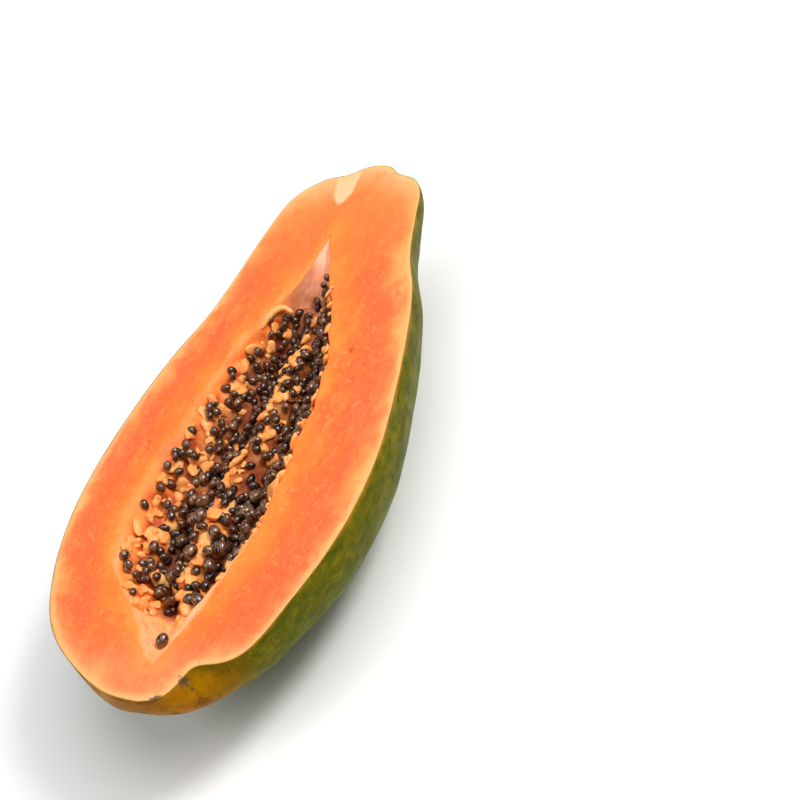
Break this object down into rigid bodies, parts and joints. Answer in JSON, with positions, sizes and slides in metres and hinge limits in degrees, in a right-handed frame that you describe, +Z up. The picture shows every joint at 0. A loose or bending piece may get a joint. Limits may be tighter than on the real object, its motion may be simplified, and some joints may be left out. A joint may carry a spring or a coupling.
{
  "type": "halved papaya",
  "caption": "Half of a ripe papaya cut lengthwise, lying on its back: orange flesh under thin green skin, with dark seeds and pulp knobs in its hollow.",
  "frame": {"origin": "on the surface that the half rests on, under the middle of its outline", "axes": "+Y from the blossom end to the stem end, +Z up out of the level cut face, +X to the right across it"},
  "size_m": [0.1368, 0.266, 0.0553],
  "materials": {
    "flesh": "moist ripe fruit flesh under a thin waxy skin",
    "seed": "wet, wrinkled and glossy"
  },
  "bodies": {
    "root": {"fruit_half": "flesh", "seeds_left": "seed", "seeds_right": "seed", "seed_stray": "seed"}
  },
  "joints": []
}
